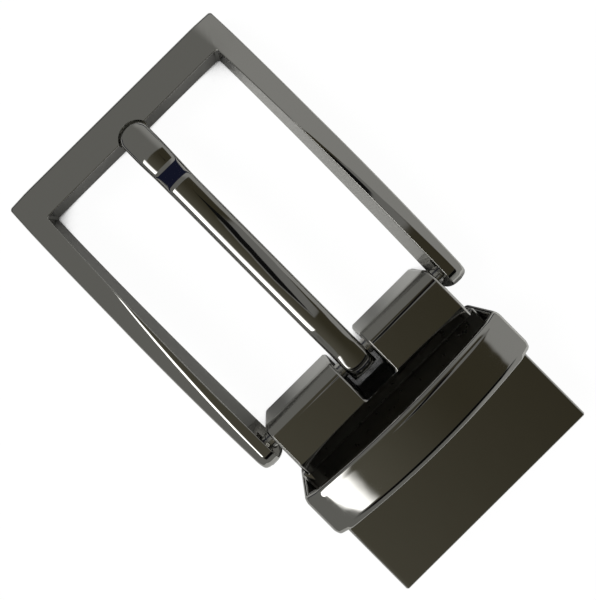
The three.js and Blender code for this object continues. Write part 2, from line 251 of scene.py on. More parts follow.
# %% Fillets and lofts
def fillets(corners, radii, steps=5, guard=0.05):
    """A closed outline in the plane with each corner rounded by its own radius."""
    outline = []
    count = len(corners)
    for i, corner in enumerate(corners):
        here = Vector(corner)
        before = Vector(corners[i - 1]) - here
        after = Vector(corners[(i + 1) % count]) - here
        reach = 0.45 * min(before.length, after.length)
        before.normalize()
        after.normalize()
        half = before.angle(after) / 2
        tangent = min(radii[i] / math.tan(half), reach)
        radius = tangent * math.tan(half)
        centre = here + (before + after).normalized() * (radius / math.sin(half))
        first, last = here + before * tangent, here + after * tangent
        slack = min(guard, 0.2 * tangent)
        outline.append(first + before * slack)
        start, end = first - centre, last - centre
        sweep = start.angle_signed(end)
        for k in range(steps + 1):
            turn = Matrix.Rotation(-sweep * k / steps, 2)
            outline.append(centre + turn @ start)
        outline.append(last + after * slack)
    return outline


def dense_top(outline, count):
    """Adds points along a section's top edge, which lies between its last two corners."""
    turn = len(outline) // 4
    start, end = outline[3 * turn - 1], outline[3 * turn]
    extra = [start.lerp(end, k / count) for k in range(1, count)]
    return outline[:3 * turn] + extra + outline[3 * turn:]


def loft(name, rings, material):
    """A closed mesh through rings of points, with a flat face at each end."""
    mesh = bpy.data.meshes.new(name)
    work = bmesh.new()
    made = [[work.verts.new(to_frame(*p)) for p in ring] for ring in rings]
    for ring, following in zip(made, made[1:]):
        for i in range(len(ring)):
            j = (i + 1) % len(ring)
            work.faces.new((ring[i], ring[j], following[j], following[i]))
    work.faces.new(reversed(made[0]))
    work.faces.new(made[-1])
    bmesh.ops.recalc_face_normals(work, faces=work.faces)
    work.to_mesh(mesh)
    work.free()
    mesh.materials.append(material)
    mesh.shade_smooth()
    piece = bpy.data.objects.new(name, mesh)
    bpy.context.scene.collection.objects.link(piece)
    return piece


def apply_modifiers(piece):
    """Bakes a piece's modifiers into its mesh."""
    bpy.context.view_layer.update()
    graph = bpy.context.evaluated_depsgraph_get()
    mesh = bpy.data.meshes.new_from_object(piece.evaluated_get(graph))
    piece.modifiers.clear()
    piece.data = mesh
    return piece


def cut(piece, tool, operation="DIFFERENCE"):
    """Cuts a tool out of a piece, or joins it on, and throws the tool away."""
    step = piece.modifiers.new(operation.lower(), "BOOLEAN")
    step.object = tool
    step.operation = operation
    step.solver = "EXACT"
    apply_modifiers(piece)
    bpy.data.objects.remove(tool)
    return piece


def soften(piece, width, sharp=35, segments=3, profile=0.5, clamp=True):
    """Rounds the sharp edges that a cut left."""
    bevel = piece.modifiers.new("soften", "BEVEL")
    bevel.width = width * MM
    bevel.segments = segments
    bevel.profile = profile
    bevel.limit_method = "ANGLE"
    bevel.angle_limit = math.radians(sharp)
    bevel.miter_outer = "MITER_ARC"
    bevel.use_clamp_overlap = clamp
    return apply_modifiers(piece)


def finish_shading(piece, sharp=50):
    """Smooth shading that keeps the flats flat: large faces outweigh the small ones beside them."""
    piece.data.shade_smooth()
    piece.data.set_sharp_from_angle(angle=math.radians(sharp))
    weigh = piece.modifiers.new("flats", "WEIGHTED_NORMAL")
    weigh.keep_sharp = True
    weigh.weight = 90
    return apply_modifiers(piece)


def report(piece):
    triangles = sum(len(face.vertices) - 2 for face in piece.data.polygons)
    print(f"{piece.name}: {len(piece.data.vertices)} points, {triangles} triangles")


# %% [markdown]
# ## Cutting tools
# Slots, notches and bores are cut with a tool, as they would be milled or drilled. A tool
# is a straight prism: an outline in plan raised through the metal, or a round bar across
# it. The slot and the notch share one outline, a tongue with round corners at one end.


# %% Cutting tools
AXLE_RADIUS = 1.25
BORE_GAP = 0.1                 # play round the axle, the pin and the rivets
THROUGH = 60                   # a drill that passes right across


def arc(x, y, radius, start, end, steps):
    """Points on an arc, with its angles in degrees."""
    angles = [math.radians(start + (end - start) * k / steps) for k in range(steps + 1)]
    return [(x + radius * math.cos(a), y + radius * math.sin(a)) for a in angles]


def tongue(half_width, square, round_end, radius, steps=10):
    """A plan that is square at one end and has round corners at the other."""
    way = 1 if round_end > square else -1
    centre = round_end - way * radius
    right = arc(half_width - radius, centre, radius, 0, 90 * way, steps)
    left = arc(-half_width + radius, centre, radius, 90 * way, 180 * way, steps)
    if radius >= half_width:
        left = left[1:]
    return [(half_width, square), *right, *left, (-half_width, square)]


def prism(name, outline, low, high, material):
    rings = [[(x, y, z) for x, y in outline] for z in (low, high)]
    return loft(name, rings, material)


def round_bar(name, radius, y, z, left, right, material, sides=64, ends=0.0):
    """A round bar across the buckle, with a small chamfer on each end."""
    profile = [(left, radius - ends), (left + ends, radius), (right - ends, radius),
               (right, radius - ends)] if ends else [(left, radius), (right, radius)]
    angles = [math.tau * k / sides for k in range(sides)]
    rings = [[(x, y + r * math.cos(a), z + r * math.sin(a)) for a in angles] for x, r in profile]
    return loft(name, rings, material)


def axle_drill():
    return round_bar("drill", AXLE_RADIUS + BORE_GAP, 0, axle_z, -THROUGH, THROUGH, pin_steel)


print(f"the axle's bores are {2 * (AXLE_RADIUS + BORE_GAP):.1f} mm across")

# %% [markdown]
# ## The frame
# The frame is one casting: two arms and a crossbar, arched so that it follows the
# wearer's waist. The arms draw together towards the hinge. Along the inner edge of each
# arm runs a flat that narrows to nothing before the crossbar, and the rest of the top is
# a facet that slopes outward. A bevelled box could not show how these tones change along
# the arm, so a section is carried round the U and one function of x and y gives its top.

# %% Frame sizes
frame_low, frame_high = node_box("buckle_frame")
REACH = frame_high.y
EYE = -frame_low.y
CROSSBAR_EDGE = REACH - 5.55
EYE_HALF_WIDTH = 21.15         # outside, at the axle
WINDOW_HALF_WIDTH = 18.25      # at the top; at the foot the window is a little narrower
FOOT_HALF_WIDTH, FOOT_SPREAD = 17.5, 0.65
ARCH_CENTRE = 14.0
TOP_PEAK, TOP_ARCH = 9.3, 160.0
BOTTOM_PEAK, BOTTOM_ARCH = 3.6, 221.0
END_CORNER = 0.9
CORNER = 0.5
FLAT_WIDTH, FLAT_END = 1.6, 35.0       # the flat along the window, and where it ends
FACET_SLOPE, FACET_BLEND = 0.38, 0.3
FACET_EASE, EASE_START = 0.25, 30.0    # the facet grows flatter towards the crossbar
BAR_CORNERS = [0.35, 0.35, 0.4, 0.14]  # the section's fillets, from the inside foot round
LEAST_HEIGHT, LEAST_WALL = 0.9, 0.6    # where the arm's end rounds off


def outer_half_width(y):
    return EYE_HALF_WIDTH + (frame_high.x - EYE_HALF_WIDTH) * y / REACH


def foot_half_width(y):
    return FOOT_HALF_WIDTH + FOOT_SPREAD * y / CROSSBAR_EDGE


def arch(y, peak, radius):
    return peak - (y - ARCH_CENTRE) ** 2 / (2 * radius)


def soft_past(value, blend):
    """How far value is past zero, starting gently within the blend."""
    if value <= -blend:
        return 0.0
    return value if value >= blend else (value + blend) ** 2 / (4 * blend)


def frame_top(x, y):
    if y < 0:
        level = axle_z + math.sqrt(max(EYE ** 2 - y ** 2, 0)) + (arch(0, TOP_PEAK, TOP_ARCH)
                                                                 - axle_z - EYE)
    else:
        level = arch(y, TOP_PEAK, TOP_ARCH)
    ridge = WINDOW_HALF_WIDTH + FLAT_WIDTH * (1 - min(max(y / FLAT_END, 0), 1) ** 1.3)
    eased = min(max((y - EASE_START) / (CROSSBAR_EDGE - EASE_START), 0), 1)
    slope = FACET_SLOPE - FACET_EASE * eased
    return level - slope * soft_past(abs(x) - ridge, FACET_BLEND)


def frame_foot(y):
    if y < 0:
        return axle_z - math.sqrt(max(EYE ** 2 - y ** 2, 0))
    return arch(y, BOTTOM_PEAK, BOTTOM_ARCH)


def bar_outline(width, height):
    """The section of the bar as shares of its width and height, with many points on top."""
    outline = fillets([(0, 0), (width, 0), (width, height), (0, height)], BAR_CORNERS)
    return [(point.x / width, point.y / height) for point in dense_top(outline, 24)]


def frame_section(inner, outer, foot):
    """The section between a point of the window's edge and one of the outside."""
    width = (outer - inner).length
    height = max(frame_top(*inner) - frame_foot(inner.y), LEAST_HEIGHT)
    ring = []
    for across, up in bar_outline(width, height):
        high = inner.lerp(outer, across)
        low = foot.lerp(outer, across)
        place = low.lerp(high, up)
        bottom = frame_foot(place.y)
        top = max(frame_top(place.x, place.y), bottom + LEAST_WALL)
        ring.append((*place, bottom + (top - bottom) * up))
    return ring


print(f"the frame reaches {REACH:.2f} mm ahead of the axle and {EYE:.2f} mm behind it")

# %% [markdown]
# A station is three points in plan: the window's edge at the top, the outside, and the
# window's edge at the foot. Stations follow the eye and the arm, fan round the corner and
# run to the crossbar's middle. The left half mirrors the right.


# %% Frame stations
EYE_ANGLES = (88, 84, 79, 73, 66, 58, 50, 42, 34, 26, 18, 10, 4)
TURN_IN = 4                    # mm before a corner where the rows begin to spread


def arm_stations():
    """Inside, outside and foot points from an arm's end to the corner, on the right."""
    rows = []
    for degrees in EYE_ANGLES:
        y = -EYE * math.sin(math.radians(degrees))
        left = END_CORNER - (y + EYE)
        inset = END_CORNER - math.sqrt(max(END_CORNER ** 2 - max(left, 0) ** 2, 0))
        rows.append(((WINDOW_HALF_WIDTH + inset, y), (outer_half_width(y) - inset, y),
                     (foot_half_width(y) + inset, y)))
    bend = CROSSBAR_EDGE - CORNER
    straight = bend - TURN_IN
    for k in range(30):
        y = straight * k / 29
        rows.append(((WINDOW_HALF_WIDTH, y), (outer_half_width(y), y), (foot_half_width(y), y)))
    for k in range(1, 5):
        share = k / 4
        inside = straight + (bend - straight) * share
        outside = straight + (REACH - CORNER - straight) * share
        rows.append(((WINDOW_HALF_WIDTH, inside), (outer_half_width(outside), outside),
                     (foot_half_width(inside), inside)))
    return rows


def corner_stations(steps=10):
    """Rows that fan round the corner."""
    bend = CROSSBAR_EDGE - CORNER
    inside = arc(WINDOW_HALF_WIDTH - CORNER, bend, CORNER, 0, 90, steps)
    outside = arc(frame_high.x - CORNER, REACH - CORNER, CORNER, 0, 90, steps)
    foot = arc(foot_half_width(bend) - CORNER, bend, CORNER, 0, 90, steps)
    return list(zip(inside, outside, foot))[1:]


def bar_stations():
    """Rows along the crossbar from the right corner to its middle."""
    starts = [WINDOW_HALF_WIDTH - CORNER, frame_high.x - CORNER,
              foot_half_width(CROSSBAR_EDGE) - CORNER]
    level = starts[0] - TURN_IN
    edges = [CROSSBAR_EDGE, REACH, CROSSBAR_EDGE]
    rows = []
    for k in range(1, 9):
        rows.append(tuple((start + (level - start) * k / 8, y) for start, y in zip(starts, edges)))
    for k in range(1, 11):
        rows.append(tuple((level * (1 - k / 10), y) for y in edges))
    return rows


right_half = arm_stations() + corner_stations() + bar_stations()
left_half = [tuple((-x, y) for x, y in row) for row in reversed(right_half[:-1])]
rings = [frame_section(*[Vector(point) for point in row]) for row in right_half + left_half]
buckle_frame = loft("frame_polished", rings, frame_nickel)
report(buckle_frame)

# %% [markdown]
# The notch that takes the prong's tip is milled into the crossbar's inner edge, and the
# axle's bores are drilled through both arms. The edges these cuts leave are broken by a
# tenth of a millimetre, as the plating would.

# %% Notch and bores
NOTCH_HALF_WIDTH, NOTCH_END, NOTCH_FLOOR = 2.9, 50.0, 3.8
BROKEN_EDGE = 0.1
notch_plan = tongue(NOTCH_HALF_WIDTH, CROSSBAR_EDGE - 3, NOTCH_END, NOTCH_HALF_WIDTH, 16)
cut(buckle_frame, prism("notch", notch_plan, NOTCH_FLOOR, TOP_PEAK, frame_nickel))
cut(buckle_frame, axle_drill())
soften(buckle_frame, BROKEN_EDGE)
report(buckle_frame)

# %% [markdown]
# ## The prong
# The prong is a flat bar with a pillowed top. It rises from its eye on the axle, runs
# nearly level on a slow arch, steps down to a wider tip, and bends down into the notch.
# One function gives the height of its top along the bar, and one its width.

# %% Prong shape
prong_low, prong_high = node_box("prong")
PRONG_TIP = prong_high.y
PRONG_EYE = -prong_low.y
TIP_HALF_WIDTH = prong_high.x
TIP_ROUND, TIP_POWER = 1.9, 2.8        # length and fullness of the round end
PRONG_HALF_WIDTH = 2.25
WIDEN_START, WIDEN_END = 35, 45
PRONG_THICKNESS, TIP_THICKNESS = 2.3, 2.0
THIN_START, THIN_END, THINNED = 36, 47, 0.2
PRONG_PEAK, PRONG_CREST, PRONG_ARCH = 9.95, 20.0, 350.0
RISE_START, RISE_END = 1.5, 8.0
STEP_START, STEP_END = 37.2, 40.4
STEP_SOFT = 0.35
SHELF, TIP_BEND, TIP_SLOPE = 7.5, 43.8, 0.176
BEND_SOFT = 1.0
CROWN = 0.5                    # how far the sides of the top fall away
UNDER_EDGE, TOP_EDGE = 0.4, 0.6        # fillets of the section


def ease(value, start, end):
    share = min(max((value - start) / (end - start), 0), 1)
    return share * share * (3 - 2 * share)


def ramp(y, start, end, soft):
    """A straight climb from 0 to 1 with soft ends."""
    return (soft_past(y - start, soft) - soft_past(y - end, soft)) / (end - start)


def prong_top(y):
    """Height of the prong's top: the eye, a rise, the long level body, a step and the tip."""
    eye_top = axle_z + PRONG_EYE
    level = PRONG_PEAK - (y - PRONG_CREST) ** 2 / (2 * PRONG_ARCH)
    body = eye_top + (level - eye_top) * ramp(y, RISE_START, RISE_END, BEND_SOFT)
    tip = SHELF - TIP_SLOPE * soft_past(y - TIP_BEND, BEND_SOFT)
    share = ramp(y, STEP_START, STEP_END, STEP_SOFT)
    return body * (1 - share) + tip * share


def prong_half_width(y):
    """Half the prong's width: parallel, widening towards the tip, then rounding off."""
    widening = (TIP_HALF_WIDTH - PRONG_HALF_WIDTH) * ease(y, WIDEN_START, WIDEN_END)
    share = max(1 - (PRONG_TIP - y) / TIP_ROUND, 0)
    rounded = TIP_HALF_WIDTH * max(1 - share ** TIP_POWER, 0) ** (1 / TIP_POWER)
    return min(PRONG_HALF_WIDTH + widening, rounded)


def prong_section(top, bottom, half_width):
    """A pillowed section: flat below, crowned above, with soft shoulders."""
    width, height = 2 * half_width, (Vector(top) - Vector(bottom)).length
    shoulder = min(TOP_EDGE, 0.8 * half_width)
    outline = fillets([(0, 0), (width, 0), (width, height), (0, height)],
                      [UNDER_EDGE, UNDER_EDGE, shoulder, shoulder], steps=8, guard=0.02)
    outline = dense_top(outline, 16)
    fall = CROWN * min(1, half_width / PRONG_HALF_WIDTH) ** 2
    ring = []
    for x, up in outline:
        across = 2 * x / width - 1
        up -= fall * across * across * up / height
        low, high = Vector((x - half_width, *bottom)), Vector((x - half_width, *top))
        ring.append(low.lerp(high, up / height))
    return ring


print(f"the prong is {PRONG_TIP + PRONG_EYE:.2f} mm long")

# %% [markdown]
# The sections crowd together at the round tip and run back along the bar. From the join
# on, the underside comes up to the front of the eye, and the last sections turn round the
# axle like the leaves of a fan.

# %% Prong sections
TIP_STEPS, BODY_STEPS, JOIN_STEPS, EYE_STEPS = 18, 129, 12, 30
JOIN = 5.0                     # where the underside turns towards the eye

rings = []
for k in range(TIP_STEPS):
    y = PRONG_TIP - TIP_ROUND * (1 - math.cos(math.radians(4 + 86 * k / TIP_STEPS)))
    low = (y, prong_top(y) - TIP_THICKNESS)
    rings.append(prong_section((y, prong_top(y)), low, prong_half_width(y)))
body_start = PRONG_TIP - TIP_ROUND
for k in range(BODY_STEPS + 1):
    y = body_start + (JOIN - body_start) * k / BODY_STEPS
    low = (y, prong_top(y) - (PRONG_THICKNESS - THINNED * ease(y, THIN_START, THIN_END)))
    rings.append(prong_section((y, prong_top(y)), low, prong_half_width(y)))
foot_start = Vector((JOIN, prong_top(JOIN) - PRONG_THICKNESS))
for k in range(1, JOIN_STEPS + 1):
    share = k / JOIN_STEPS
    y = JOIN * (1 - share)
    low = foot_start.lerp(Vector((PRONG_EYE, axle_z)), share)
    rings.append(prong_section((y, prong_top(y)), low, PRONG_HALF_WIDTH))
for k in range(1, EYE_STEPS):
    share = k / EYE_STEPS
    top_angle = math.radians(90 + 88 * share)
    low_angle = math.radians(-178 * share)
    top = (PRONG_EYE * math.cos(top_angle), axle_z + PRONG_EYE * math.sin(top_angle))
    low = (PRONG_EYE * math.cos(low_angle), axle_z + PRONG_EYE * math.sin(low_angle))
    rings.append(prong_section(top, low, PRONG_HALF_WIDTH))
prong = loft("prong_polished", rings, prong_nickel)
cut(prong, axle_drill())
report(prong)

# %% [markdown]
# ## The hinge axle
# One ground steel axle joins the frame, the prong and the case. It is cut from round bar,
# so a plain cylinder with a small chamfer on each end is all of it.

# %% Hinge axle
axle_low, axle_high = node_box("hinge_axle")
axle = round_bar("axle_ground", AXLE_RADIUS, 0, axle_z, axle_low.x, axle_high.x, pin_steel,
                 ends=0.2)
report(axle)

# %% [markdown]
# ## The clamp case
# The case is the buckle's body. Its front block carries the axle, and is slotted for the
# prong. The block's top is level in the middle and slopes gently down at the front and, in
# a narrow band, at the rear, so it mirrors three parts of the room in three clear tones.
# Behind it a lower plate, a floor and two walls make the open channel for the strap's end.

# %% Case sizes
case_low, case_high = node_box("clamp_case")
keeper_low, keeper_high = node_box("keeper_loop")
BLOCK_FRONT = case_high.y
BLOCK_TOP = case_high.z
BLOCK_REAR = -7.0
BLOCK_HALF_WIDTH = 16.8
SHOULDER_START, SHOULDER_TOP, SHOULDER_SOFT = 0.8, 8.75, 0.5
REAR_BEND, REAR_TOP, REAR_SOFT = -4.7, 9.15, 0.12
BLOCK_CORNER = 0.9
SIDE_STEPS = 78
TAIL = case_low.y
TAIL_HALF_WIDTH = case_high.x
PLATE_TOP, PLATE_UNDER = 8.0, 6.8
WALL = 0.8
CASE_WAIST = 17.8
FLOOR_TOP, FOOT_ROUND = 2.2, 0.6
RIM, RIM_PROFILE = 0.45, 0.32  # the worn edge's width, and how full its curve is
GAP = 0.3                      # play round the keeper in its recesses
CASE_STEP = keeper_low.y - GAP
FLOOR_REAR = CASE_STEP - WALL
SLOT_HALF_WIDTH, SLOT_END, SLOT_CORNER = 2.98, -5.06, 0.6
PAST = 1                       # how far a cutting tool starts outside the metal


def block_side():
    """The block's side view: level top, two slopes, upright front face and a rounded foot."""
    fall = (BLOCK_TOP - SHOULDER_TOP) / (BLOCK_FRONT - SHOULDER_START)
    back = (BLOCK_TOP - REAR_TOP) / (REAR_BEND - BLOCK_REAR)
    line = []
    for k in range(SIDE_STEPS + 1):
        y = BLOCK_REAR + (BLOCK_FRONT - BLOCK_REAR) * k / SIDE_STEPS
        drop = fall * soft_past(y - SHOULDER_START, SHOULDER_SOFT)
        drop += back * soft_past(REAR_BEND - y, REAR_SOFT)
        line.append((y, BLOCK_TOP - drop))
    line += arc(BLOCK_FRONT - FOOT_ROUND, FOOT_ROUND, FOOT_ROUND, 0, -90, 8)
    return line + [(BLOCK_REAR, 0)]


def crosswise(name, side, left, right, material):
    """A prism across the buckle from its side view in (y, z)."""
    return loft(name, [[(x, y, z) for y, z in side] for x in (left, right)], material)


def slab(name, left, right, rear, front, low, high):
    outline = [(left, rear), (right, rear), (right, front), (left, front)]
    return prism(name, outline, low, high, case_nickel)


block = crosswise("case_polished", block_side(), -BLOCK_HALF_WIDTH, BLOCK_HALF_WIDTH,
                  case_nickel)
block_plan = tongue(BLOCK_HALF_WIDTH, BLOCK_REAR - PAST, BLOCK_FRONT, BLOCK_CORNER, 12)
cut(block, prism("plan", block_plan, -PAST, BLOCK_TOP + PAST, case_nickel), "INTERSECT")
slot_plan = tongue(SLOT_HALF_WIDTH, BLOCK_FRONT + 5, SLOT_END, SLOT_CORNER, 6)
cut(block, prism("slot", slot_plan, -PAST, BLOCK_TOP + PAST, case_nickel))
soften(block, RIM, sharp=40, segments=4, profile=RIM_PROFILE, clamp=False)
cut(block, axle_drill())
report(block)

# %% [markdown]
# The channel behind the block is made the same way, from slabs that are joined and then
# cut: two recesses take the keeper's feet, two countersunk holes its rivets, a bore the
# flap's pin, and a half-round notch lets a fingernail under the flap.

# %% Channel for the strap
RIVET_RADIUS, RIVET_HEAD, RIVET_HEAD_DEPTH = 1.1, 1.8, 0.6
rivet_low, rivet_high = node_box("keeper_rivet_right")
rivet_x = (rivet_low.x + rivet_high.x) / 2
rivet_y = (rivet_low.y + rivet_high.y) / 2
FOOT_INNER = keeper_high.x - 6.4
FOOT_THICKNESS = 1.0
PIN_RADIUS = 0.7
THUMB_NOTCH = 3.5
CHANNEL_RIM = 0.3
OVERLAP, BLOCK_OVERLAP = 0.2, 0.5      # how far joined pieces run into each other


def turned(name, profile, x, y, material, sides=48):
    """A turned piece standing on its axis at (x, y), from (radius, height) pairs."""
    angles = [math.tau * k / sides for k in range(sides)]
    rings = [[(x + r * math.cos(a), y + r * math.sin(a), z) for a in angles] for r, z in profile]
    return loft(name, rings, material)


def rivet_hole(side, top):
    """The drill for a countersunk rivet hole on the left (-1) or right (1)."""
    bore = RIVET_RADIUS + BORE_GAP
    profile = [(RIVET_HEAD + BORE_GAP, -0.1), (bore, RIVET_HEAD_DEPTH), (bore, top)]
    return turned("hole", profile, side * rivet_x, rivet_y, case_nickel)


def flap_pin_drill():
    return round_bar("bore", PIN_RADIUS + BORE_GAP, flap_hinge_y, flap_hinge_z, -THROUGH, THROUGH,
                     pin_steel, sides=32)


def channel():
    """Plate, walls and floor as one casting."""
    waist, half = CASE_WAIST, TAIL_HALF_WIDTH
    front = BLOCK_REAR + BLOCK_OVERLAP
    body = slab("channel", -half, half, TAIL, CASE_STEP, PLATE_UNDER, PLATE_TOP)
    for box in (
        (-waist, waist, CASE_STEP - OVERLAP, front, PLATE_UNDER, PLATE_TOP),
        (-waist, waist, CASE_STEP - OVERLAP, front, 0, FLOOR_TOP),
        (-half, WALL - half, TAIL, CASE_STEP, 0, PLATE_TOP),
        (half - WALL, half, TAIL, CASE_STEP, 0, PLATE_TOP),
        (-half, half, FLOOR_REAR, CASE_STEP, 0, FLOOR_TOP),
    ):
        cut(body, slab("slab", *box), "UNION")
    for side in (-1, 1):
        inner, outer = side * (FOOT_INNER - GAP), side * 40
        cut(body, slab("recess", min(inner, outer), max(inner, outer), CASE_STEP,
                       keeper_high.y + GAP, -PAST, FOOT_THICKNESS + GAP))
        cut(body, rivet_hole(side, FLOOR_TOP + 0.2))
    notch = [(THUMB_NOTCH * math.cos(a), THUMB_NOTCH * math.sin(a))
             for a in [math.tau * k / 64 for k in range(64)]]
    rings = [[(x, FLOOR_REAR + y, z) for x, z in notch] for y in (-6, 6)]
    cut(body, loft("thumb", rings, case_nickel))
    soften(body, CHANNEL_RIM, sharp=40, profile=RIM_PROFILE, clamp=False)
    cut(body, flap_pin_drill())
    return body


cut(block, channel(), "UNION")
case = finish_shading(block)
report(case)

# %% [markdown]
# The outer faces of the case are polished, but a polishing mop cannot reach inside it.
# Faces that look into the channel or lie against the wearer keep the satin surface of the
# plated casting, given a darker colour than the polish as painted shade. Each face is given
# its finish by where it lies.

# %% Satin and painted shade inside
# painted shade: faces inside the channel and underneath take the darker satin
case.data.materials.append(satin_with_painted_shade)
for face in case.data.polygons:
    x, y, z = from_axle(face.center)
    inside = y < BLOCK_REAR + 0.6 and z < PLATE_UNDER + 0.05 and abs(x) < TAIL_HALF_WIDTH - 0.5
    if inside or (z < 2.5 and face.normal.z < -0.5):
        face.material_index = 1
print(sum(f.material_index for f in case.data.polygons), "satin faces")

# %% [markdown]
# ## The keeper
# The keeper is a flat band bent round the case, with wide soft bevels on its long edges,
# and its feet turn in underneath. One section follows one path, which is what a Geometry
# Nodes sweep does best: the tree takes the path from a line of points, draws the band's
# section from named sizes, and carries one along the other.

# %% Keeper path
KEEPER_CROWN, KEEPER_THICKNESS = keeper_high.z, 1.1
CROWN_HALF_WIDTH, CROWN_EDGE = 16.5, 13.45
SHOULDER_FOOT = 12.2
EDGE_BEND, SHOULDER_BEND, FOOT_BEND = 2.4, 0.62, 0.6
CROWN_STEPS = 40


def keeper_path(inset):
    """Half of the band's path at its middle thickness, from the crown's top to the foot."""
    half = keeper_high.x - inset
    fall = KEEPER_CROWN - CROWN_EDGE
    crown = [(CROWN_HALF_WIDTH * k / CROWN_STEPS,
              KEEPER_CROWN - inset - fall * (k / CROWN_STEPS) ** 2)
             for k in range(CROWN_STEPS + 1)]
    end = Vector((FOOT_INNER, inset))
    bends = fillets([crown[-3], crown[-1], (half, SHOULDER_FOOT - inset), (half, inset), end],
                    [0.01, EDGE_BEND, SHOULDER_BEND, FOOT_BEND, 0.01], steps=12, guard=0.03)
    each = len(bends) // 5
    edge_bend, shoulder_bend, foot_bend = (bends[k * each:(k + 1) * each] for k in (1, 2, 3))
    leg = [shoulder_bend[-1].lerp(foot_bend[0], k / 8) for k in range(1, 8)]
    foot = [foot_bend[-1].lerp(end, k / 4) for k in range(1, 5)]
    bent = [tuple(point) for point in edge_bend + shoulder_bend + leg + foot_bend + foot]
    return crown[:-1] + bent


half_path = keeper_path(KEEPER_THICKNESS / 2)
keeper_line = [(-x, z) for x, z in half_path[::-1]] + half_path[1:]
path_mesh = bpy.data.meshes.new("keeper_path")
keeper_middle = (keeper_low.y + keeper_high.y) / 2
path_mesh.from_pydata(
    [to_frame(x, keeper_middle, z) for x, z in keeper_line],
    [(k, k + 1) for k in range(len(keeper_line) - 1)], [],
)
keeper = bpy.data.objects.new("keeper_polished", path_mesh)
bpy.context.scene.collection.objects.link(keeper)
print(len(keeper_line), "points on the keeper's path")

# %% [markdown]
# Two helpers begin and end a tree whose inputs are named sizes. The third runs it on a
# piece with those sizes filled in, and keeps the result as a plain mesh.


# %% Geometry Nodes helpers
def new_tree(name, inputs):
    """A geometry tree with one geometry socket each way and named size inputs."""
    tree = bpy.data.node_groups.new(name, "GeometryNodeTree")
    face = tree.interface
    face.new_socket("Geometry", in_out="INPUT", socket_type="NodeSocketGeometry")
    face.new_socket("Geometry", in_out="OUTPUT", socket_type="NodeSocketGeometry")
    for label, kind in inputs:
        face.new_socket(label, in_out="INPUT", socket_type=f"NodeSocket{kind}")
    return tree, add(tree, "NodeGroupInput"), add(tree, "NodeGroupOutput")


def end_tree(tree, made, geometry, material):
    whole = add(tree, "GeometryNodeRealizeInstances", Geometry=geometry)
    finished = add(tree, "GeometryNodeSetMaterial", Geometry=whole.outputs[0], Material=material)
    tree.links.new(finished.outputs[0], made.inputs[0])
    return tree


def grow(piece, tree, values, material):
    """Runs a tree on a piece with its named inputs set, and keeps the result as a mesh."""
    step = piece.modifiers.new(tree.name, "NODES")
    step.node_group = tree
    for item in tree.interface.items_tree:
        if item.in_out == "INPUT" and item.name in values:
            step[item.identifier] = values[item.name]
    apply_modifiers(piece)
    if material.name not in piece.data.materials:
        piece.data.materials.append(material)
    return piece


# %% [markdown]
# The band's section is a rectangle whose outer side is pulled down towards both long
# edges, more steeply the nearer the edge. The path's normal is held along the strap so
# that the band never twists. The side that faces the case is satin, in a darker colour
# that is painted shade under the band.


# %% Keeper tree
BEVEL_WIDTH, BEVEL_DEPTH, BEVEL_POWER = 1.1, 0.34, 1.6
BAND_CORNER, SECTION_POINTS = 0.2, 120


def keeper_tree(material):
    tree, given, made = new_tree("keeper_sweep", [
        ("Band length", "Float"), ("Thickness", "Float"), ("Corner", "Float"),
        ("Bevel width", "Float"), ("Bevel depth", "Float"), ("Section points", "Int"),
    ])
    size = {o.name: o for o in given.outputs}
    path = add(tree, "GeometryNodeMeshToCurve", Mesh=size["Geometry"])
    level = add(tree, "GeometryNodeSetCurveNormal", {"mode": "FREE"}, Curve=path.outputs[0],
                Normal=(0, 1, 0))
    flat = add(tree, "GeometryNodeCurvePrimitiveQuadrilateral", Width=size["Band length"],
               Height=size["Thickness"])
    round_corners = add(tree, "GeometryNodeFilletCurve", Curve=flat.outputs[0],
                        Radius=size["Corner"])
    round_corners.mode = "POLY"
    round_corners.inputs["Count"].default_value = 5
    fine = add(tree, "GeometryNodeResampleCurve", Curve=round_corners.outputs[0],
               Count=size["Section points"])
    place = add(tree, "GeometryNodeInputPosition").outputs[0]
    where = add(tree, "ShaderNodeSeparateXYZ", Vector=place)
    half = times(tree, size["Band length"], 0.5)
    start = maths(tree, "SUBTRACT", half, size["Bevel width"])
    beyond = maths(tree, "SUBTRACT", maths(tree, "ABSOLUTE", where.outputs[0]), start)
    share = maths(tree, "DIVIDE", maths(tree, "MAXIMUM", beyond, 0.0), size["Bevel width"])
    fall = times(tree, maths(tree, "POWER", share, BEVEL_POWER), size["Bevel depth"])
    outer = maths(tree, "GREATER_THAN", where.outputs[1], 0.0)
    drop = times(tree, times(tree, fall, outer), -1.0)
    shift = add(tree, "ShaderNodeCombineXYZ", Y=drop)
    shaped = add(tree, "GeometryNodeSetPosition", Geometry=fine.outputs[0], Offset=shift.outputs[0])
    band = add(tree, "GeometryNodeCurveToMesh", Curve=level.outputs[0],
               Profile_Curve=shaped.outputs[0], Fill_Caps=True)
    return end_tree(tree, made, band.outputs[0], material)


grow(keeper, keeper_tree(keeper_nickel), {
    "Band length": (keeper_high.y - keeper_low.y) * MM, "Thickness": KEEPER_THICKNESS * MM,
    "Corner": BAND_CORNER * MM, "Bevel width": BEVEL_WIDTH * MM,
    "Bevel depth": BEVEL_DEPTH * MM, "Section points": SECTION_POINTS,
}, keeper_nickel)
for side in (-1, 1):
    cut(keeper, rivet_hole(side, FLOOR_TOP))
finish_shading(keeper)
# painted shade: the band's inner faces take the darker satin
keeper.data.materials.append(satin_with_painted_shade)
for face in keeper.data.polygons:
    x, y, z = from_axle(face.center)
    inward = Vector((-x, 0, KEEPER_CROWN / 2 - z)).dot(face.normal) > 0
    if inward and abs(face.normal.y) < 0.3:
        face.material_index = 1
report(keeper)

# %% [markdown]
# ## Rivets
# Two countersunk rivets hold the keeper's feet to the case. They are turned from steel
# wire and set with a press, which leaves a shallow dimple in the head and a slightly
# mushroomed inner end.

